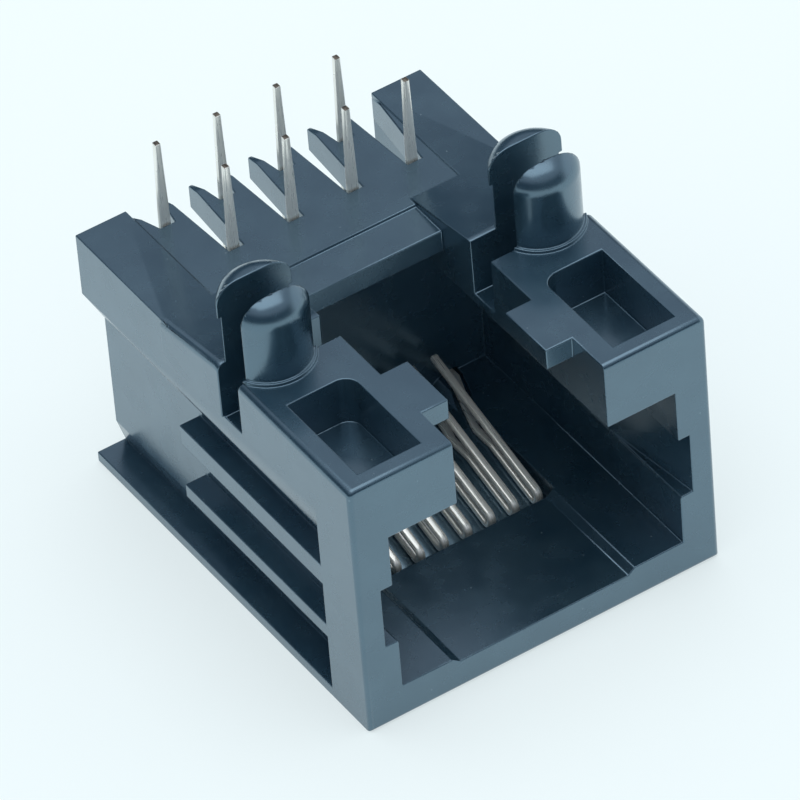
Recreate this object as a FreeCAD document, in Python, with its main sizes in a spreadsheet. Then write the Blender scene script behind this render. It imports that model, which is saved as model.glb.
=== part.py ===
import FreeCAD, Part
import math
import os
import re
import Sketcher

# An 8-position modular jack that solders flat onto a circuit board.
# The jack lies on its flat face, so the board side with the pegs and solder pins looks up (+Z).
# The mouth looks along -Y. In the sketches, depth is counted from the mouth's face to the rear,
# height from the flat face upwards, and across is 0 in the middle of the jack.

# The driving sizes, in millimetres and degrees: name, size, meaning.
SIZES = [
    ("housing_width", 15.0, "across the mouth's frame"),
    ("housing_depth", 17.9, "from the mouth's face to the rear of the comb"),
    ("block_height", 11.45, "from the flat face to the face that meets the board"),
    ("comb_height", 10.85, "from the flat face to the upper side of the comb's rails"),
    ("plate_thickness", 0.45, "of the flat plate under the whole jack"),
    ("frame_depth", 2.4, "of the mouth's frame"),
    ("wall_recess", 0.9, "how far the side walls lie inside the frame's sides"),
    ("foot_recess", 1.2, "how far the walls' feet lie inside the frame's sides"),
    ("foot_height", 1.5, "where the walls' feet end"),
    ("rail_recess", 0.1, "how far the rear rails lie inside the frame's sides"),
    ("shoulder_foot", 6.5, "height where the walls start to lean outwards"),
    ("shoulder_top", 8.1, "height where the walls reach the rails"),
    ("band_foot", 9.0, "height of the lower edge of the raised side bands"),
    ("band_depth", 12.2, "from the mouth's face to the rear end of the bands"),
    ("ramp_depth", 8.6, "from the mouth's face to the start of the ramp behind the pegs"),
    ("band_round", 0.3, "radius of the long upper edges"),
    ("frame_round", 0.2, "radius of the mouth's outer edges"),
    ("rib_depth", 11.55, "from the mouth's face to the rear ends of the side ribs"),
    ("upper_rib_foot", 5.45, "height of the upper rib's lower side"),
    ("upper_rib_top", 6.35, "height of the upper rib's upper side"),
    ("lower_rib_foot", 2.9, "height of the lower rib's lower side"),
    ("lower_rib_top", 3.5, "height of the lower rib's upper side"),
    ("cavity_width", 12.1, "between the cavity's side walls above the guides"),
    ("guide_width", 12.0, "between the guides along the cavity's floor"),
    ("guide_height", 3.55, "height of the guides' upper edge"),
    ("guide_slope", 0.15, "height of the slope above the guides"),
    ("cavity_floor", 1.49, "height of the floor's side strips"),
    ("recess_floor", 1.25, "height of the floor's middle, which carries the contacts"),
    ("recess_width", 7.2, "of the flat part of the floor's middle"),
    ("recess_slope", 0.3, "width of the slopes beside the floor's middle"),
    ("cavity_roof", 8.6, "height of the cavity's roof on the board side"),
    ("cavity_depth", 12.6, "from the mouth's face to the cavity's end"),
    ("lead_width", 13.1, "across the two lead-in grooves at the mouth"),
    ("lead_depth", 4.5, "of the lead-in grooves"),
    ("lead_foot", 3.67, "height of the grooves' lower side"),
    ("lead_top", 6.34, "height of the grooves' upper side"),
    ("channel_width", 6.34, "of the latch channel"),
    ("channel_roof", 9.75, "height of the channel's roof behind the window"),
    ("window_depth", 10.2, "from the mouth's face to the end of the open window"),
    ("stop_gap", 4.1, "between the two latch stops"),
    ("stop_front", 1.95, "from the mouth's face to the stops"),
    ("stop_length", 2.55, "of each stop along the depth"),
    ("stop_thickness", 0.9, "of each stop"),
    ("panel_depth", 11.85, "from the mouth's face to the rear edge of the bare panel"),
    ("panel_recess", 0.1, "how far the panel lies below the comb's middle"),
    ("core_inner", 4.05, "from the middle to the inner side of a block's pocket"),
    ("core_outer", 6.65, "from the middle to the outer side of a block's pocket"),
    ("core_front", 0.7, "from the mouth's face to the pockets"),
    ("core_rear", 5.15, "from the mouth's face to the pockets' rear sides"),
    ("core_depth", 2.0, "of the pockets"),
    ("core_round", 0.6, "radius of each pocket's rear inner corner"),
    ("peg_spacing", 11.43, "between the two board pegs"),
    ("peg_line", 7.7, "from the mouth's face to the pegs' axes"),
    ("peg_radius", 1.57, "of a peg's stem"),
    ("peg_height", 3.4, "of a peg above the block"),
    ("peg_round", 0.95, "radius of the front half's upper edge"),
    ("ring_radius", 1.7, "of the ring round the front half's foot"),
    ("ring_height", 0.12, "of that ring"),
    ("barb_radius", 1.7, "of the snap edge on the rear half"),
    ("barb_height", 2.05, "height of the snap edge above the block"),
    ("barb_round", 0.8, "radius of the rear half's upper edge"),
    ("slit_width", 1.3, "of the slit that splits the pegs"),
    ("slit_floor", 9.0, "height of the slit's floor"),
    ("comb_step", 0.05, "how far the comb lies below its rails"),
    ("comb_drop", 0.25, "how far the ends of its teeth lie below the rails"),
    ("tooth_slope", 0.7, "length of the teeth's sloping ends"),
    ("comb_thickness", 1.0, "of the teeth at their rear ends"),
    ("rail_gap", 10.5, "between the two rear rails"),
    ("hollow_front", 13.6, "from the mouth's face to the open space at the rear"),
    ("slot_width", 0.6, "of a comb slot where it holds its pin"),
    ("slot_mouth", 1.1, "of a comb slot at the rear edge"),
    ("pin_clearance", 0.08, "between a pin and its slot's end"),
    ("contact_width", 0.46, "of a contact strip"),
    ("contact_thickness", 0.25, "of a contact strip"),
    ("contact_pitch", 1.016, "between the springs"),
    ("pin_pitch", 1.27, "between neighbouring pins across"),
    ("front_row", 6.35, "from the peg line to the front row of pins"),
    ("row_gap", 2.54, "between the two rows of pins"),
    ("pin_reach", 3.05, "how far the pins stand above the board face"),
    ("tip_width", 0.2, "of a pin's end"),
    ("tip_length", 1.0, "of the taper towards a pin's end"),
    ("pin_bend", 0.6, "mid-line radius of the bend below a pin"),
    ("leg_clearance", 0.1, "between a contact's leg and its groove"),
    ("jog_front", 9.6, "from the mouth's face to where the legs start to fan out"),
    ("jog_rear", 12.3, "from the mouth's face to where the legs reach the pins' pitch"),
    ("spring_slope", 16.3, "angle of the springs to the floor"),
    ("spring_end", 12.2, "from the mouth's face to the springs' free ends"),
    ("hairpin_radius", 0.3, "mid-line radius of the tight bend near the mouth"),
    ("hairpin_gap", 0.3, "between the tight bends and the floor's front part"),
    ("bed_clearance", 0.05, "between the tight bends and the plate below them"),
    ("leg_bend", 0.8, "mid-line radius where a leg starts to dip"),
    ("bed_front", 5.2, "from the mouth's face to the opening for the contacts"),
    ("bed_side", 0.2, "from the outer contacts to the sides of that opening"),
]
CONTACT_COUNT = 8

doc = FreeCAD.newDocument("BoardJack")
sheet = doc.addObject("Spreadsheet::Sheet", "Sizes")
for line, (name, size, meaning) in enumerate(SIZES, 1):
    sheet.set("A%d" % line, name)
    sheet.set("B%d" % line, str(size))
    sheet.set("C%d" % line, meaning)
    sheet.setAlias("B%d" % line, name)
doc.recompute()

# Places that several features share, written once as formulas of the sizes.
HALF_WIDTH = "housing_width / 2"
HALF_WALL = "(housing_width / 2 - wall_recess)"
HALF_RAIL = "(housing_width / 2 - rail_recess)"
HALF_CHANNEL = "channel_width / 2"
HALF_GAP = "rail_gap / 2"
COMB_UNDERSIDE = "(comb_height - comb_drop - comb_thickness)"
LEG_LEVEL = "(recess_floor + contact_thickness / 2)"
HAIRPIN_LEVEL = "(plate_thickness + bed_clearance + contact_thickness / 2 + hairpin_radius)"
HAIRPIN_DEPTH = "(bed_front + hairpin_gap + contact_thickness / 2 + hairpin_radius)"
DIP_LENGTH = ("((%s - %s + hairpin_radius / cos(spring_slope)) / tan(spring_slope))"
              % (LEG_LEVEL, HAIRPIN_LEVEL))
DIP_DEPTH = "(%s + %s)" % (HAIRPIN_DEPTH, DIP_LENGTH)
DIP_TANGENT = "(leg_bend * tan(spring_slope / 2))"
DIP_START = "(%s + %s)" % (DIP_DEPTH, DIP_TANGENT)


def bound(text):
    """An expression in which every size name points at its cell."""
    return re.sub(r"[a-z]+(?:_[a-z]+)+", lambda found: "Sizes." + found.group(), text)


def number(text):
    """The present value of an expression."""
    return float(sheet.evalExpression(bound(text)))


def bind(item, path, text):
    item.setExpression(path, bound(text))


def new_body(label):
    """An empty body whose sketches count depth from the mouth's face."""
    body = doc.addObject("PartDesign::Body", label)
    body.Label = label
    bind(body, "Placement.Base.y", "-housing_depth / 2")
    return body


def new_sketch(body, label, role, offset):
    """A sketch on one of the body's own origin planes, moved by three expressions."""
    plane = next(f for f in body.Origin.OriginFeatures if f.Role == role)
    sketch = body.newObject("Sketcher::SketchObject", label)
    sketch.AttachmentSupport = [(plane, "")]
    sketch.MapMode = "FlatFace"
    for axis, text in zip("xyz", offset):
        bind(sketch, "AttachmentOffset.Base." + axis, text)
    return sketch


def across_sketch(body, label, depth):
    """Drawn across and up, seen from the mouth, at a depth behind its face."""
    return new_sketch(body, label, "XZ_Plane", ("0", "0", "-(%s)" % depth))


def side_sketch(body, label, across):
    """Drawn along the depth and up, at a place across the jack."""
    return new_sketch(body, label, "YZ_Plane", ("0", "0", across))


def plan_sketch(body, label, height):
    """Drawn across and along the depth, at a height."""
    return new_sketch(body, label, "XY_Plane", ("0", "0", height))


def arc_middle(start, end, radius, side):
    """The middle of the shorter arc from start to end; its centre lies left of the way for side 1."""
    chord = end - start
    left = FreeCAD.Vector(-chord.y, chord.x, 0).normalize() * side
    reach = math.sqrt(max(radius ** 2 - chord.Length ** 2 / 4, 0))
    centre = (start + end) / 2 + left * reach
    return centre - left * radius


def draw(sketch, corners):
    """A closed outline through the corners. A corner is (u, v), or (u, v, radius, side) before an arc."""
    points = [FreeCAD.Vector(number(corner[0]), number(corner[1]), 0) for corner in corners]
    ends = []
    for corner, start, end in zip(corners, points, points[1:] + points[:1]):
        if len(corner) == 2:
            item = sketch.addGeometry(Part.LineSegment(start, end), False)
            ends.append((item, 1, 2))
        else:
            radius, side = corner[2:]
            middle = arc_middle(start, end, number(radius), side)
            first, last = (start, end) if side == 1 else (end, start)
            item = sketch.addGeometry(Part.Arc(first, middle, last), False)
            ends.append((item, 1, 2) if side == 1 else (item, 2, 1))
            row = sketch.addConstraint(Sketcher.Constraint("Radius", item, number(radius)))
            bind(sketch, "Constraints[%d]" % row, radius)
    for here, there in zip(ends, ends[1:] + ends[:1]):
        sketch.addConstraint(Sketcher.Constraint("Coincident", here[0], here[2], there[0], there[1]))
    for corner, (item, place, _) in zip(corners, ends):
        for kind, text in zip(("DistanceX", "DistanceY"), corner):
            row = sketch.addConstraint(Sketcher.Constraint(kind, -1, 1, item, place, number(text)))
            bind(sketch, "Constraints[%d]" % row, text)


def mirrored(corners):
    """A right-hand outline, listed upwards, closed by its mirror image. Arcs keep their turn."""
    left = []
    for i, (u, v) in enumerate(corner[:2] for corner in reversed(corners)):
        arc = corners[-i - 2][2:] if i + 1 < len(corners) else ()
        left.append(("-(%s)" % u, v) + tuple(arc))
    return corners + left


def rectangle(left, right, low, high):
    return [(left, low), (right, low), (right, high), (left, high)]


def strip(path):
    """The outline of a bent contact strip. A path point is (u, v, left_u, left_v), where the last two
    point to the left of the way, and an arc that follows it adds its mid-line radius and side."""
    left, right = [], []
    arcs = [point[4:] for point in path]
    for i, (u, v, left_u, left_v) in enumerate(point[:4] for point in path):
        before = arcs[i - 1] if i else ()
        for corners, sign, arc, turn in ((left, 1, arcs[i], 1), (right, -1, before, -1)):
            shift = "%d * contact_thickness / 2" % sign
            corner = ("%s + (%s) * %s" % (u, left_u, shift), "%s + (%s) * %s" % (v, left_v, shift))
            if arc:
                radius, side = arc
                corner += ("%s - %d * %s" % (radius, side, shift), side * turn)
            corners.append(corner)
    return left + right[::-1]


def pad(body, sketch, length, side="One side", turned=False):
    feature = body.newObject("PartDesign::Pad", sketch.Name + "Pad")
    feature.Profile = sketch
    feature.SideType = side
    feature.Reversed = turned
    bind(feature, "Length", length)
    return feature


def pocket(body, sketch, length, side="One side", turned=False):
    feature = body.newObject("PartDesign::Pocket", sketch.Name + "Pocket")
    feature.Profile = sketch
    feature.SideType = side
    feature.Reversed = turned
    bind(feature, "Length", length)
    return feature


def half_turn(body, sketch, turned):
    """A half revolution about the sketch's upright axis."""
    feature = body.newObject("PartDesign::Revolution", sketch.Name + "Turn")
    feature.Profile = sketch
    feature.ReferenceAxis = (sketch, ["V_Axis"])
    feature.Angle = 180
    feature.Reversed = turned
    return feature


def round_edges(body, base, radius, wanted):
    """A fillet on those of the base feature's edges that wanted picks by their ends."""
    doc.recompute()
    names = []
    for i, edge in enumerate(base.Shape.Edges, 1):
        if wanted([vertex.Point for vertex in edge.Vertexes]):
            names.append("Edge%d" % i)
    feature = body.newObject("PartDesign::Fillet", base.Name + "Round")
    feature.Base = (base, names)
    bind(feature, "Radius", radius)
    return feature


def add_shell(body):
    """The outer form: the raised upper bands, the mouth's frame, walls, rails and side ribs."""
    band = side_sketch(body, "BandSide", "0")
    draw(band, [
        ("0", "band_foot"),
        ("band_depth", "band_foot"),
        ("band_depth", "comb_height"),
        ("ramp_depth", "block_height"),
        ("0", "block_height"),
    ])
    bands = pad(body, band, "housing_width", side="Symmetric")
    comb_height = number("comb_height")
    round_edges(body, bands, "band_round", lambda ends: (
        abs(ends[0].x - ends[1].x) < 0.001 and min(end.z for end in ends) > comb_height - 0.001))

    frame = across_sketch(body, "FrameFace", "0")
    draw(frame, mirrored([
        (HALF_WIDTH, "0"),
        (HALF_WIDTH, "block_height - band_round", "band_round", 1),
        ("housing_width / 2 - band_round", "block_height"),
    ]))
    pad(body, frame, "frame_depth", turned=True)

    walls = across_sketch(body, "WallSection", "0")
    draw(walls, mirrored([
        (HALF_WIDTH, "0"),
        (HALF_WIDTH, "plate_thickness"),
        ("housing_width / 2 - foot_recess", "plate_thickness"),
        (HALF_WALL, "foot_height"),
        (HALF_WALL, "shoulder_foot"),
        (HALF_RAIL, "shoulder_top"),
        (HALF_RAIL, "comb_height"),
    ]))
    pad(body, walls, "housing_depth", turned=True)

    ribs = across_sketch(body, "RibEnds", "frame_depth")
    for side in ("", "-"):
        for rib in ("upper_rib", "lower_rib"):
            draw(ribs, rectangle(side + HALF_WALL, side + HALF_WIDTH, rib + "_foot", rib + "_top"))
    shell = pad(body, ribs, "rib_depth - frame_depth", turned=True)
    round_edges(body, shell, "frame_round", lambda ends: all(abs(end.y) < 0.001 for end in ends))


def cut_cavity(body):
    """The plug cavity with its stepped floor, lead-in grooves, latch channel and window."""
    mouth = across_sketch(body, "MouthProfile", "0")
    draw(mouth, mirrored([
        ("recess_width / 2", "recess_floor"),
        ("recess_width / 2 + recess_slope", "cavity_floor"),
        ("guide_width / 2", "cavity_floor"),
        ("guide_width / 2", "guide_height"),
        ("cavity_width / 2", "guide_height + guide_slope"),
        ("cavity_width / 2", "cavity_roof"),
        (HALF_CHANNEL, "cavity_roof"),
        (HALF_CHANNEL, "channel_roof"),
    ]))
    pocket(body, mouth, "cavity_depth")

    leads = plan_sketch(body, "LeadGrooves", "lead_top")
    for side in ("", "-"):
        draw(leads, [
            (side + "guide_width / 2", "0"),
            (side + "lead_width / 2", "0"),
            (side + "cavity_width / 2", "lead_depth"),
            (side + "guide_width / 2", "lead_depth"),
        ])
    pocket(body, leads, "lead_top - lead_foot")

    channel = across_sketch(body, "LatchChannel", "0")
    draw(channel, rectangle("-" + HALF_CHANNEL, HALF_CHANNEL, "cavity_roof",
                            "block_height - stop_thickness"))
    pocket(body, channel, "window_depth")

    window = plan_sketch(body, "LatchWindow", "block_height")
    draw(window, mirrored([
        (HALF_CHANNEL, "0"),
        (HALF_CHANNEL, "stop_front"),
        ("stop_gap / 2", "stop_front"),
        ("stop_gap / 2", "stop_front + stop_length"),
        (HALF_CHANNEL, "stop_front + stop_length"),
        (HALF_CHANNEL, "window_depth"),
    ]))
    pocket(body, window, "block_height - channel_roof")


def cut_board_side(body):
    """The comb's face with its bare panel and sloping ends, and the pockets that core the blocks."""
    middle = plan_sketch(body, "CombMiddle", "block_height")
    draw(middle, rectangle("-" + HALF_CHANNEL, HALF_CHANNEL, "window_depth", "housing_depth"))
    pocket(body, middle, "block_height - (comb_height - comb_step)")

    panel = plan_sketch(body, "BarePanel", "comb_height - comb_step")
    draw(panel, rectangle("-" + HALF_CHANNEL, HALF_CHANNEL, "window_depth", "panel_depth"))
    pocket(body, panel, "panel_recess")

    slope = side_sketch(body, "CombSlope", "0")
    draw(slope, [
        ("band_depth", "comb_height - comb_step"),
        ("housing_depth - tooth_slope", "comb_height - comb_step"),
        ("housing_depth", "comb_height - comb_drop"),
        ("housing_depth", "comb_height"),
        ("band_depth", "comb_height"),
    ])
    pocket(body, slope, "rail_gap", side="Symmetric")

    cores = plan_sketch(body, "BlockPockets", "block_height")
    for side, turn in (("", 1), ("-", -1)):
        draw(cores, [
            (side + "core_inner", "core_front"),
            (side + "core_outer", "core_front"),
            (side + "core_outer", "core_rear"),
            (side + "(core_inner + core_round)", "core_rear", "core_round", turn),
            (side + "core_inner", "core_rear - core_round"),
        ])
    pocket(body, cores, "core_depth")


def pin_row(index):
    """The depth of a contact's solder pin: odd ones stand in the rear row."""
    return "(peg_line + front_row + %d * row_gap)" % (index % 2)


def pin_place(index):
    return "(pin_pitch * (%d - %d / 2))" % (index, CONTACT_COUNT + 1)


def spring_place(index):
    return "(contact_pitch * (%d - %d / 2))" % (index, CONTACT_COUNT + 1)


def cut_comb(body):
    """The open space at the rear and the slots that hold the pins."""
    hollow = across_sketch(body, "RearHollow", "housing_depth")
    draw(hollow, rectangle("-" + HALF_GAP, HALF_GAP, "plate_thickness", COMB_UNDERSIDE))
    pocket(body, hollow, "housing_depth - hollow_front", turned=True)

    slots = plan_sketch(body, "CombSlots", "comb_height")
    for index in range(1, CONTACT_COUNT + 1):
        place = pin_place(index)
        seat = pin_row(index) + " - contact_thickness / 2 - pin_clearance"
        left = place + " - slot_mouth / 2"
        right = place + " + slot_mouth / 2"
        if index == 1:
            left = "-" + HALF_GAP
        if index == CONTACT_COUNT:
            right = HALF_GAP
        draw(slots, [
            (place + " - slot_width / 2", seat),
            (place + " + slot_width / 2", seat),
            (right, "housing_depth"),
            (left, "housing_depth"),
        ])
    pocket(body, slots, "comb_height - %s" % COMB_UNDERSIDE)


def leg_outline(index, clearance, front, rear):
    """The plan of a contact's leg, which fans out from the spring's place to the pin's."""
    spring, pin = spring_place(index), pin_place(index)
    half = "(contact_width / 2 + %s)" % clearance
    return [
        ("%s - %s" % (spring, half), front),
        ("%s + %s" % (spring, half), front),
        ("%s + %s" % (spring, half), "jog_front"),
        ("%s + %s" % (pin, half), "jog_rear"),
        ("%s + %s" % (pin, half), rear),
        ("%s - %s" % (pin, half), rear),
        ("%s - %s" % (pin, half), "jog_rear"),
        ("%s - %s" % (spring, half), "jog_front"),
    ]


def cut_contact_seats(body):
    """The opening in the floor in which the springs bend, and the grooves that carry the legs."""
    opening = side_sketch(body, "ContactOpening", "0")
    draw(opening, [
        ("bed_front", "plate_thickness"),
        (HAIRPIN_DEPTH, "plate_thickness"),
        (DIP_START, "recess_floor"),
        (DIP_START, "cavity_floor"),
        ("bed_front", "cavity_floor"),
    ])
    width = "contact_pitch * %d + contact_width + 2 * bed_side" % (CONTACT_COUNT - 1)
    pocket(body, opening, width, side="Symmetric")

    grooves = plan_sketch(body, "LegGrooves", "recess_floor + contact_thickness + leg_clearance")
    for index in range(1, CONTACT_COUNT + 1):
        draw(grooves, leg_outline(index, "leg_clearance", DIP_START, "hollow_front"))
    pocket(body, grooves, "contact_thickness + leg_clearance")


def add_pegs(body):
    """Two snap pegs, split by a slit across the block: a plain front half and a barbed rear half."""
    for side, word in (("-", "Left"), ("", "Right")):
        axis = (side + "peg_spacing / 2", "block_height", "-peg_line")
        front = new_sketch(body, word + "PegFront", "XZ_Plane", axis)
        draw(front, [
            ("0", "slit_floor - block_height"),
            ("peg_radius", "slit_floor - block_height"),
            ("peg_radius", "0"),
            ("ring_radius", "0"),
            ("ring_radius", "ring_height"),
            ("peg_radius", "ring_height"),
            ("peg_radius", "peg_height - peg_round", "peg_round", 1),
            ("peg_radius - peg_round", "peg_height"),
            ("0", "peg_height"),
        ])
        half_turn(body, front, True)

        rear = new_sketch(body, word + "PegRear", "XZ_Plane", axis)
        draw(rear, [
            ("0", "slit_floor - block_height"),
            ("peg_radius", "slit_floor - block_height"),
            ("peg_radius", "barb_height"),
            ("barb_radius", "barb_height"),
            ("barb_radius", "peg_height - barb_round", "barb_round", 1),
            ("barb_radius - barb_round", "peg_height"),
            ("0", "peg_height"),
        ])
        half_turn(body, rear, False)

    slits = plan_sketch(body, "PegSlits", "block_height + peg_height")
    for side in ("-", ""):
        draw(slits, rectangle(side + HALF_CHANNEL, side + HALF_WIDTH,
                              "peg_line - slit_width / 2", "peg_line + slit_width / 2"))
    pocket(body, slits, "block_height + peg_height - slit_floor")


def make_housing():
    body = new_body("housing")
    add_shell(body)
    cut_cavity(body)
    cut_board_side(body)
    cut_comb(body)
    cut_contact_seats(body)
    add_pegs(body)
    return body


def make_contact(index):
    """One strip: a solder pin, a leg that fans inwards, a tight bend and a sloping spring."""
    body = new_body("contact_%d" % index)
    row, pin, spring = pin_row(index), pin_place(index), spring_place(index)
    slope = ("sin(spring_slope)", "-cos(spring_slope)")
    back = ("-sin(spring_slope)", "cos(spring_slope)")

    drop = side_sketch(body, "PinSide", pin)
    draw(drop, strip([
        (row, "block_height + pin_reach", "1", "0"),
        (row, LEG_LEVEL + " + pin_bend", "1", "0", "pin_bend", -1),
        (row + " - pin_bend", LEG_LEVEL, "0", "-1"),
    ]))
    pad(body, drop, "contact_width", side="Symmetric")

    tip = across_sketch(body, "PinTip", row + " - contact_thickness / 2")
    for side in "-+":
        draw(tip, [
            ("%s %s tip_width / 2" % (pin, side), "block_height + pin_reach"),
            ("%s %s contact_width / 2" % (pin, side), "block_height + pin_reach"),
            ("%s %s contact_width / 2" % (pin, side), "block_height + pin_reach - tip_length"),
        ])
    pocket(body, tip, "contact_thickness")

    leg = plan_sketch(body, "LegPlan", "recess_floor")
    draw(leg, leg_outline(index, "0", DIP_START, row + " - pin_bend"))
    pad(body, leg, "contact_thickness")

    shift_along = "hairpin_radius * sin(spring_slope)"
    shift_up = "hairpin_radius * cos(spring_slope)"
    side = side_sketch(body, "SpringSide", spring)
    draw(side, strip([
        (DIP_START, LEG_LEVEL, "0", "-1", "leg_bend", 1),
        ("%s - %s * cos(spring_slope)" % (DIP_DEPTH, DIP_TANGENT),
         "%s - %s * sin(spring_slope)" % (LEG_LEVEL, DIP_TANGENT)) + slope,
        ("%s + %s" % (HAIRPIN_DEPTH, shift_along),
         "%s - %s" % (HAIRPIN_LEVEL, shift_up)) + slope + ("hairpin_radius", -1),
        ("%s - %s" % (HAIRPIN_DEPTH, shift_up), "%s - %s" % (HAIRPIN_LEVEL, shift_along),
         "-cos(spring_slope)", "-sin(spring_slope)", "hairpin_radius", -1),
        ("%s - %s" % (HAIRPIN_DEPTH, shift_along), "%s + %s" % (HAIRPIN_LEVEL, shift_up)) + back,
        ("spring_end", "%s + hairpin_radius / cos(spring_slope) + (spring_end - %s) * tan(spring_slope)"
         % (HAIRPIN_LEVEL, HAIRPIN_DEPTH)) + back,
    ]))
    pad(body, side, "contact_width", side="Symmetric")
    return body


parts = [make_housing()]
for index in range(1, CONTACT_COUNT + 1):
    parts.append(make_contact(index))
doc.recompute()

for item in doc.Objects:
    if "Invalid" in item.State or "Error" in item.State:
        raise RuntimeError("%s did not build: %s" % (item.Label, item.State))
for body in parts:
    before = 0.0
    for feature in body.Group:
        if not feature.isDerivedFrom("PartDesign::Feature"):
            continue
        volume = feature.Shape.Volume
        cuts = feature.isDerivedFrom("PartDesign::Pocket") or feature.isDerivedFrom("PartDesign::Fillet")
        if (volume < before) != cuts:
            raise RuntimeError("%s has no effect" % feature.Label)
        before = volume
    if body.Shape.isNull() or not body.Shape.isValid() or len(body.Shape.Solids) != 1:
        raise RuntimeError("%s is not one sound solid" % body.Label)

os.makedirs("parts", exist_ok=True)
for body in parts:
    body.Shape.exportStep("parts/%s.step" % body.Label)
    print("%s: %.2f cubic mm" % (body.Label, body.Shape.Volume))
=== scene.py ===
# %% [markdown]
# # A board jack, dressed for its portrait
#
# This lesson takes the finished construction of an eight-way modular jack and gives it the look of the
# real one: black moulded plastic with a soft sheen, and eight thin bright contacts. The shapes come from
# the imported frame, in metres, and they stay where they are. Everything here is about surfaces, edges,
# light and the place where the camera stands.
#
# The jack lies on its flat top, so the side that is soldered to the circuit board looks up.

# %% Load the frame
import math

import bmesh
import bpy
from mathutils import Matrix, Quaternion, Vector


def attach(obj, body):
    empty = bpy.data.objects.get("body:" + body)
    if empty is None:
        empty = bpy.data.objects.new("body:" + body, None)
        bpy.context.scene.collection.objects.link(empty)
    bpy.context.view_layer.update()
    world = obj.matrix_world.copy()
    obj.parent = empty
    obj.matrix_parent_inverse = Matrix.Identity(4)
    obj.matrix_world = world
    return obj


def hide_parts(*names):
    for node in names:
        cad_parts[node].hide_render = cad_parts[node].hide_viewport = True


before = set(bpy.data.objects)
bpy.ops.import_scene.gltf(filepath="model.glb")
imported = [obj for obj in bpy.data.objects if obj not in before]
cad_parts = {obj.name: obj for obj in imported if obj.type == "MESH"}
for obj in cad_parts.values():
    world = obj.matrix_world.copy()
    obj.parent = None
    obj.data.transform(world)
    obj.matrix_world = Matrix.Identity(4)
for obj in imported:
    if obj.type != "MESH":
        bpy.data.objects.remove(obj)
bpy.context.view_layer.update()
MM = 0.001


# %% [markdown]
# ## The camera
#
# The photograph was taken from well above and a little to the left of the mouth, with a long lens: the
# jack's parallel edges hardly converge. A long lens far away is used here too, not an orthographic
# camera, because the little convergence that is left shows at the front corner. The angles, the
# distance and the small roll were found by matching corners of the housing to the picture. The view
# transform is Standard, so that a colour comes out as it is written.

# %% The photograph's viewpoint
# Angles are in degrees, lens and sensor in millimetres, and the shift in widths of the picture.
VIEW_AZIMUTH = -30.37
VIEW_ELEVATION = 42.09
VIEW_ROLL = -4.95
VIEW_DISTANCE = 341.2 * MM
VIEW_TARGET = Vector((-5.46, -9.79, 15.39)) * MM
LENS = 450.0
LENS_SHIFT = (-0.0047, -0.0014)
SENSOR = 36.0


def look_from(azimuth, elevation):
    """The unit vector from the target back to the camera; azimuth 0 looks along +Y."""
    a, e = math.radians(azimuth), math.radians(elevation)
    return Vector((math.sin(a) * math.cos(e), -math.cos(a) * math.cos(e), math.sin(e)))


scene = bpy.context.scene
scene.view_settings.view_transform = "Standard"

camera_data = bpy.data.cameras.new("portrait_camera")
camera_data.sensor_width = SENSOR
camera_data.lens = LENS
camera_data.shift_x, camera_data.shift_y = LENS_SHIFT
camera_data.clip_start = 0.01
camera_data.clip_end = 10.0
camera = bpy.data.objects.new("portrait_camera", camera_data)
scene.collection.objects.link(camera)
scene.camera = camera

back = look_from(VIEW_AZIMUTH, VIEW_ELEVATION)
roll = Quaternion((0, 0, 1), math.radians(VIEW_ROLL))
camera.location = VIEW_TARGET + back * VIEW_DISTANCE
camera.rotation_mode = "QUATERNION"
camera.rotation_quaternion = (-back).to_track_quat("-Z", "Y") @ roll
print("camera at", [round(v / MM, 1) for v in camera.location], "mm")

# %% [markdown]
# ## First tools for materials
#
# A material is a small network of nodes. Building it by hand takes the same steps every time: an empty
# network, nodes with their values, and a shader that goes to the surface. A few short functions take
# these steps over. One more tells what is seen from light that merely falls: a background can then look
# white without throwing more light on the jack.

# %% Tools for node networks
def new_material(name):
    """An empty node material; returns the material, its nodes and its links."""
    material = bpy.data.materials.new(name)
    material.use_nodes = True
    material.node_tree.nodes.clear()
    return material, material.node_tree.nodes, material.node_tree.links


def add(nodes, kind, inputs=None, **settings):
    """A new node with its inputs set by name or number, and its properties set by keyword."""
    made = nodes.new(kind)
    for name, value in settings.items():
        setattr(made, name, value)
    for name, value in (inputs or {}).items():
        made.inputs[name].default_value = value
    return made


def mixed(nodes, links, share, first, second):
    """A shader that goes from first to second with the share."""
    made = add(nodes, "ShaderNodeMixShader")
    for place, socket in enumerate((share, first, second)):
        links.new(socket, made.inputs[place])
    return made.outputs["Shader"]


def seen_directly(nodes, links):
    """1 for what the camera sees, also by reflection or through glass, and 0 for light that falls."""
    path = add(nodes, "ShaderNodeLightPath")
    total = path.outputs["Is Camera Ray"]
    for kind in ("Is Glossy Ray", "Is Transmission Ray"):
        plus = add(nodes, "ShaderNodeMath", operation="ADD", use_clamp=True)
        links.new(total, plus.inputs[0])
        links.new(path.outputs[kind], plus.inputs[1])
        total = plus.outputs["Value"]
    return total


def finish_with(nodes, links, shader):
    """Sends the shader to the material's surface."""
    out = add(nodes, "ShaderNodeOutputMaterial")
    links.new(shader, out.inputs["Surface"])


print("tools for node networks are ready")

# %% [markdown]
# ## The sheet it lies on
#
# The jack was photographed on a white sheet in broad, even light, so it throws hardly any shadow. Black
# plastic shows its surroundings more than its own colour, so the pale sheet matters twice: it is the
# background, and it is what the sides of the jack mirror. One wide square is enough for it. Part of the
# sheet's whiteness is a steady glow that only the camera and mirror rays see, and the rest is lit paint,
# which keeps the soft shadow.

# %% Pale sheet
SHEET_COLOUR = (0.90, 0.975, 0.985, 1)
SHEET_REACH = 2.0
STEADY_SHARE = 0.55


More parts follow.
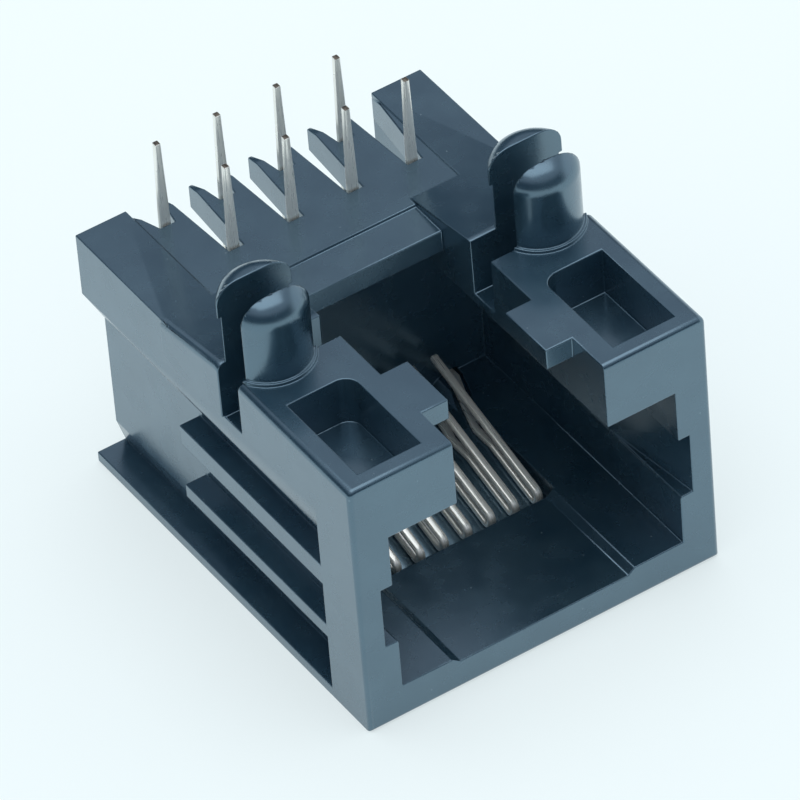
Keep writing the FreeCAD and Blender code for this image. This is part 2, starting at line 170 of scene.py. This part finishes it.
def pale_sheet():
    """Lit paint with a share of steady glow."""
    material, nodes, links = new_material("pale_sheet")
    lit = add(nodes, "ShaderNodeBsdfDiffuse", {"Color": SHEET_COLOUR})
    steady = add(nodes, "ShaderNodeEmission", {"Color": SHEET_COLOUR, "Strength": 1.0})
    share = add(nodes, "ShaderNodeMath", {1: STEADY_SHARE}, operation="MULTIPLY")
    links.new(seen_directly(nodes, links), share.inputs[0])
    both = mixed(nodes, links, share.outputs["Value"], lit.outputs["BSDF"], steady.outputs["Emission"])
    finish_with(nodes, links, both)
    return material


corners = [(SHEET_REACH * x, SHEET_REACH * y, 0) for x, y in ((-1, -1), (1, -1), (1, 1), (-1, 1))]
floor_mesh = bpy.data.meshes.new("studio_floor")
floor_mesh.from_pydata(corners, [], [(0, 1, 2, 3)])
floor_mesh.materials.append(pale_sheet())
floor = bpy.data.objects.new("studio_floor", floor_mesh)
scene.collection.objects.link(floor)
print("the sheet is", 2 * SHEET_REACH, "m wide")

# %% [markdown]
# ## The lamp
#
# The springs and pins are thin and bright, and each shows a fine light line along its length. A small
# strong lamp would turn that line, and the round tops of the pegs, into hard white spots. So the one
# lamp is a softbox half a metre wide, above the jack, which shines no brighter than white paper.

# %% Overhead softbox
def area_lamp(name, place, size, power, colour):
    """A square soft lamp that faces the jack; its size is in metres and its power in watts."""
    data = bpy.data.lights.new(name, "AREA")
    data.size = size
    data.energy = power
    data.color = colour
    lamp = bpy.data.objects.new(name, data)
    scene.collection.objects.link(lamp)
    lamp.location = place
    lamp.rotation_mode = "QUATERNION"
    lamp.rotation_quaternion = (-Vector(place)).to_track_quat("-Z", "Y")
    return lamp


softbox = area_lamp("overhead_softbox", place=(0.0, 0.03, 0.50), size=0.5, power=1.0,
                    colour=(0.94, 0.98, 1.0))
print(softbox.name, "is", softbox.data.size, "m wide")

# %% [markdown]
# ## The room in the mirror
#
# The flat tops, the ramps and the round pegs of a glossy black part each mirror another piece of the
# room, and their tones tell what was there. The ramps are darkest: they look at a dim wall low down.
# The tops look higher up, where it is brighter, and the right flanks of the pegs catch a window. So the
# room is a wall that grows lighter with height, and a window to the right. Lamps and boards could play
# these parts, but two ramps of colour over the direction of the ray are simpler and just as soft. The
# room is only what is seen: the light that falls comes evenly from all around.

# %% Tools for colour
# A Mix node has sockets for each type of value, under the same names. These are the ones for colours.
MIX_FACTOR, MIX_FIRST, MIX_SECOND, MIX_RESULT = 0, 6, 7, 2


def tones(nodes, links, value, dark, light, start=0.35, end=0.65):
    """A colour that runs from dark to light as the value runs from start to end."""
    made = add(nodes, "ShaderNodeValToRGB")
    for stop, place, colour in zip(made.color_ramp.elements, (start, end), (dark, light)):
        stop.position = place
        stop.color = (*colour, 1)
    links.new(value, made.inputs["Fac"])
    return made.outputs["Color"]


def blended(nodes, links, first, second, factor=1.0, how="MIX"):
    """Two colours as one. Each colour, and the factor, is a socket or a plain value."""
    made = add(nodes, "ShaderNodeMix", data_type="RGBA", blend_type=how)
    for given, number in ((factor, MIX_FACTOR), (first, MIX_FIRST), (second, MIX_SECOND)):
        if isinstance(given, bpy.types.NodeSocket):
            links.new(given, made.inputs[number])
        else:
            made.inputs[number].default_value = given
    return made.outputs[MIX_RESULT]


print("tools for colour are ready")

# %% Room and glow
SHADE = (0.05, 0.07, 0.10)
UPPER_WALL = (0.47, 0.49, 0.55)
DAYLIGHT = (0.88, 0.94, 1.0)
NOTHING = (0, 0, 0)
GLOW = (0.87, 0.95, 1.0, 1)


def studio_room():
    """The world: a wall and a window for what is seen, and an even glow for light that falls."""
    world = bpy.data.worlds.new("studio_glow")
    world.use_nodes = True
    nodes, links = world.node_tree.nodes, world.node_tree.links
    nodes.clear()
    way = add(nodes, "ShaderNodeSeparateXYZ")
    links.new(add(nodes, "ShaderNodeTexCoord").outputs["Generated"], way.inputs["Vector"])
    wall = tones(nodes, links, way.outputs["Z"], SHADE, UPPER_WALL, start=0.45, end=0.68)
    window = tones(nodes, links, way.outputs["X"], NOTHING, DAYLIGHT, start=0.55, end=0.80)

    seen = add(nodes, "ShaderNodeBackground", {"Strength": 1.0})
    links.new(blended(nodes, links, wall, window, how="LIGHTEN"), seen.inputs["Color"])
    glow = add(nodes, "ShaderNodeBackground", {"Color": GLOW, "Strength": 0.80})
    both = mixed(nodes, links, seen_directly(nodes, links),
                 glow.outputs["Background"], seen.outputs["Background"])
    out = add(nodes, "ShaderNodeOutputWorld")
    links.new(both, out.inputs["Surface"])
    return world


scene.world = studio_room()
print("the world is", scene.world.name)

# %% [markdown]
# ## Softened edges
#
# A mould never leaves a knife edge. On the real jack every edge is rounded by a few hundredths of a
# millimetre, and that narrow band catches the light as a bright line. The construction has the large
# radii, and its small edges are sharp, so a dressed copy takes each node's place. The copy's triangles
# are first joined back into whole faces, since a bevel needs clean edges to follow. Then a bevel rounds
# what is sharp, and weighted normals keep the wide faces flat.

# %% Rounded copies
# Vertices that are closer than the weld are one, and faces that turn by less than the seam are one.
WELD = 0.0005 * MM
SEAM = math.radians(0.5)
# An edge is rounded if it turns by more than the sharp angle.
SHARP = math.radians(30)
# Two faces keep apart in the shading if they turn by more than the soft angle and neither is narrow:
# narrow faces are the steps of a round stretch.
SOFT = math.radians(1)
NARROW = 0.45 * MM
ROUNDING_STEPS = 3
MOULD_RADIUS = 0.05 * MM


def mean_width(face):
    """How wide a face would be as a strip along its longest edge."""
    return face.calc_area() / max(edge.calc_length() for edge in face.edges)


def mark_edges(work, share_at):
    """Tells the bevel which edges to round and how much, and the shading which ones stay crisp."""
    for face in work.faces:
        face.smooth = True
    rounding = work.edges.layers.float.new("bevel_weight_edge")
    for edge in work.edges:
        turn = edge.calc_face_angle(0)
        edge.smooth = turn < SOFT or min(mean_width(face) for face in edge.link_faces) < NARROW
        if turn > SHARP:
            edge[rounding] = share_at((edge.verts[0].co + edge.verts[1].co) / 2) if share_at else 1


def round_off(piece, width):
    """The modifiers that round the marked edges and keep the wide faces flat."""
    radius = piece.modifiers.new("mould_radius", "BEVEL")
    radius.width = width
    radius.segments = ROUNDING_STEPS
    radius.limit_method = "WEIGHT"
    radius.use_clamp_overlap = False
    flat = piece.modifiers.new("flat_faces", "WEIGHTED_NORMAL")
    flat.weight = 60
    flat.keep_sharp = True


def softened(node, name, width, reshape=None, share_at=None):
    """A copy of a CAD node with rounded edges, which stands in the node's place. An edge gets the
    share of the width that share_at gives for its middle, or all of it."""
    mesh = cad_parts[node].data.copy()
    mesh.name = name
    mesh.materials.clear()
    work = bmesh.new()
    work.from_mesh(mesh)
    bmesh.ops.remove_doubles(work, verts=work.verts, dist=WELD)
    bmesh.ops.dissolve_degenerate(work, edges=work.edges, dist=WELD)
    bmesh.ops.dissolve_limit(work, angle_limit=SEAM, verts=work.verts, edges=work.edges)
    if reshape:
        reshape(work)
    mark_edges(work, share_at)
    work.to_mesh(mesh)
    work.free()
    piece = bpy.data.objects.new(name, mesh)
    scene.collection.objects.link(piece)
    round_off(piece, width)
    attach(piece, "root")
    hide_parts(node)
    return piece


moulding = softened("housing", "housing_moulding", MOULD_RADIUS)
print("the moulding has", len(moulding.data.polygons), "faces before rounding")

# %% [markdown]
# ## Slimmer contacts
#
# The contacts are stamped strip, but in the picture their springs look like slim round wires and their
# pins narrow evenly towards the ends. A soldered pin has to fit its hole, so only the dressed copy is
# slimmer: its springs are narrower and almost fully rounded, and its pins taper from the comb upwards.
# Moving the side faces inwards does this, because every contact is flat on both sides. The copies could
# be drawn anew as curves, but then they would no longer follow the construction.

# %% Slim strips
# A pin starts at the comb. A spring is all that lies in front of the place where the legs fan out, and
# what lies above the legs behind it.
PIN_FOOT = 11.0 * MM
FOOT_WIDTH = 0.42 * MM
END_WIDTH = 0.23 * MM
FAN_START = 0.66 * MM
LEG_TOP = 1.6 * MM
SPRING_REAR = 4.0 * MM
SPRING_WIDTH = 0.31 * MM
SPRING_RADIUS = 0.09 * MM
PIN_SHARE = 0.4


def taper(part, low_width, high_width):
    """Moves the sides of a part inwards, to one width at its bottom and another at its top."""
    sides = [vertex.co.x for vertex in part]
    heights = [vertex.co.z for vertex in part]
    middle = (min(sides) + max(sides)) / 2
    for vertex in part:
        rise = (vertex.co.z - min(heights)) / (max(heights) - min(heights))
        half = (low_width + (high_width - low_width) * rise) / 2
        vertex.co.x = middle + math.copysign(half, vertex.co.x - middle)


def slender(work):
    """Lets a contact's pin narrow evenly from the comb to its end, and its spring be a slim wire."""
    bmesh.ops.bisect_plane(work, geom=work.verts[:] + work.edges[:] + work.faces[:],
                           plane_co=(0, 0, PIN_FOOT), plane_no=(0, 0, 1))
    pin = [vertex for vertex in work.verts if vertex.co.z > PIN_FOOT - WELD]
    spring = [vertex for vertex in work.verts
              if vertex.co.y < FAN_START or (vertex.co.y < SPRING_REAR and vertex.co.z > LEG_TOP)]
    taper(pin, FOOT_WIDTH, END_WIDTH)
    taper(spring, SPRING_WIDTH, SPRING_WIDTH)


def strip_rounding(place):
    """The springs are almost round wires; the pins keep crisper edges."""
    return PIN_SHARE if place.z > PIN_FOOT - WELD else 1.0


contact_nodes = sorted(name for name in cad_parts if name.startswith("contact_"))
strips = [softened(node, node + "_strip", SPRING_RADIUS,
                   reshape=slender, share_at=strip_rounding) for node in contact_nodes]
print(len(strips), "slim strips")

# %% [markdown]
# ## Tools for fine surfaces
#
# Every finish below is made from noise in the object's own coordinates, because noise needs no
# unwrapping and keeps its real scale on every face. Three more tools make noise of a given grain, map it
# onto a range, and turn it into small bumps.

# %% Tools for noise and bumps
def noise(nodes, links, place, grain, detail=3.0):
    """Noise whose features are about grain wide, in metres, at the place socket."""
    made = add(nodes, "ShaderNodeTexNoise", {"Scale": 1 / grain, "Detail": detail})
    links.new(place, made.inputs["Vector"])
    return made.outputs["Fac"]


def spread(nodes, links, value, low, high, start=0.3, end=0.7):
    """Maps a value between start and end onto low and high."""
    made = add(nodes, "ShaderNodeMapRange",
               {"From Min": start, "From Max": end, "To Min": low, "To Max": high})
    links.new(value, made.inputs["Value"])
    return made.outputs["Result"]


def bumped(nodes, links, height, strength, distance, under=None):
    """A normal that follows the height, on top of an earlier normal."""
    made = add(nodes, "ShaderNodeBump", {"Strength": strength, "Distance": distance})
    links.new(height, made.inputs["Height"])
    if under:
        links.new(under, made.inputs["Normal"])
    return made.outputs["Normal"]


print("tools for noise and bumps are ready")

# %% [markdown]
# ## The moulded plastic
#
# The housing is one injection moulding in black thermoplastic. The mould's skin leaves a very fine
# grain, so the surface is neither mirror nor chalk: it shows a broad, slightly uneven sheen, with a
# thinner, crisper one above it, like a coat. Its colour is nearly black with a cool cast, so the
# reflections are tinted cool too, and handling leaves a few specks of light dust. The colour, the
# roughness, the dust and the grain each come from noise or cells of their own size.

# %% Black plastic
LINT = (0.20, 0.25, 0.28, 1)


def black_plastic():
    """Nearly black, finely grained and a little dusty."""
    material, nodes, links = new_material("black_moulding")
    place = add(nodes, "ShaderNodeTexCoord").outputs["Object"]
    shader = add(nodes, "ShaderNodeBsdfPrincipled",
                 {"IOR": 1.87, "Specular IOR Level": 1.0, "Specular Tint": (0.52, 0.80, 1.0, 1),
                  "Coat Weight": 0.5, "Coat Roughness": 0.18, "Coat IOR": 1.5})

    clouds = noise(nodes, links, place, grain=1.6 * MM, detail=4)
    plastic = tones(nodes, links, clouds, dark=(0.009, 0.026, 0.042), light=(0.018, 0.040, 0.058))
    specks = add(nodes, "ShaderNodeTexVoronoi", {"Scale": 1 / (0.9 * MM)})
    links.new(place, specks.inputs["Vector"])
    dust = spread(nodes, links, specks.outputs["Distance"], low=0.5, high=0.0, start=0.02, end=0.05)
    links.new(blended(nodes, links, plastic, LINT, dust), shader.inputs["Base Color"])

    patches = noise(nodes, links, place, grain=0.9 * MM, detail=5)
    links.new(spread(nodes, links, patches, low=0.22, high=0.30), shader.inputs["Roughness"])

    swell = noise(nodes, links, place, grain=1.8 * MM, detail=2)
    skin = noise(nodes, links, place, grain=0.06 * MM, detail=2)
    waves = bumped(nodes, links, swell, strength=0.15, distance=0.02 * MM)
    links.new(bumped(nodes, links, skin, strength=0.2, distance=0.003 * MM, under=waves),
              shader.inputs["Normal"])
    finish_with(nodes, links, shader.outputs["BSDF"])
    return material


moulding.data.materials.append(black_plastic())
print("the moulding is dressed in", moulding.data.materials[0].name)

# %% [markdown]
# ## The plated contacts
#
# Each contact is stamped from thin bronze strip and plated with tin, which is pale and only half
# mirror-like: part of its shader is metal and part is a plain light paint. Rolling leaves faint lines
# along the strip, which are noise that is stretched lengthwise, and the plating is a little duller in
# places.

# %% Bright strip
def plated_strip():
    """Pale tin with faint rolled lines."""
    material, nodes, links = new_material("bright_plating")
    place = add(nodes, "ShaderNodeTexCoord").outputs["Object"]
    shader = add(nodes, "ShaderNodeBsdfPrincipled", {"Metallic": 0.6})

    clouds = noise(nodes, links, place, grain=1.2 * MM)
    tin = tones(nodes, links, clouds, dark=(0.92, 0.91, 0.85), light=(0.97, 0.96, 0.90))
    links.new(tin, shader.inputs["Base Color"])
    stretched = add(nodes, "ShaderNodeMapping", {"Scale": (1, 0.04, 0.04)})
    links.new(place, stretched.inputs["Vector"])
    lines = noise(nodes, links, stretched.outputs["Vector"], grain=0.05 * MM, detail=2)
    links.new(spread(nodes, links, lines, low=0.26, high=0.32), shader.inputs["Roughness"])
    links.new(bumped(nodes, links, lines, strength=0.015, distance=0.001 * MM), shader.inputs["Normal"])
    finish_with(nodes, links, shader.outputs["BSDF"])
    return material


plating = plated_strip()
for strip in strips:
    strip.data.materials.append(plating)
print(len(strips), "strips are plated")

# %% [markdown]
# ## The cut ends
#
# The pins are cut after plating, so their ends show the darker bronze, torn and dull. A second material
# on the same piece is the way for this: the faces at the very top of each pin are given its number.

# %% Cut ends
CUT_DEPTH = 0.01 * MM
FACING_UP = 0.9


def cut_bronze():
    """Dark bronze, rough from the cut."""
    material, nodes, links = new_material("cut_bronze")
    place = add(nodes, "ShaderNodeTexCoord").outputs["Object"]
    shader = add(nodes, "ShaderNodeBsdfPrincipled", {"Metallic": 1.0})
    torn = noise(nodes, links, place, grain=0.08 * MM)
    links.new(tones(nodes, links, torn, dark=(0.10, 0.09, 0.08), light=(0.24, 0.21, 0.17)),
              shader.inputs["Base Color"])
    links.new(spread(nodes, links, torn, low=0.35, high=0.6), shader.inputs["Roughness"])
    links.new(bumped(nodes, links, torn, strength=0.5, distance=0.01 * MM), shader.inputs["Normal"])
    finish_with(nodes, links, shader.outputs["BSDF"])
    return material


bronze = cut_bronze()
cut_faces = 0
for strip in strips:
    strip.data.materials.append(bronze)
    top = max(vertex.co.z for vertex in strip.data.vertices)
    for face in strip.data.polygons:
        if face.normal.z > FACING_UP and face.center.z > top - CUT_DEPTH:
            face.material_index = 1
            cut_faces += 1
print(cut_faces, "cut ends")
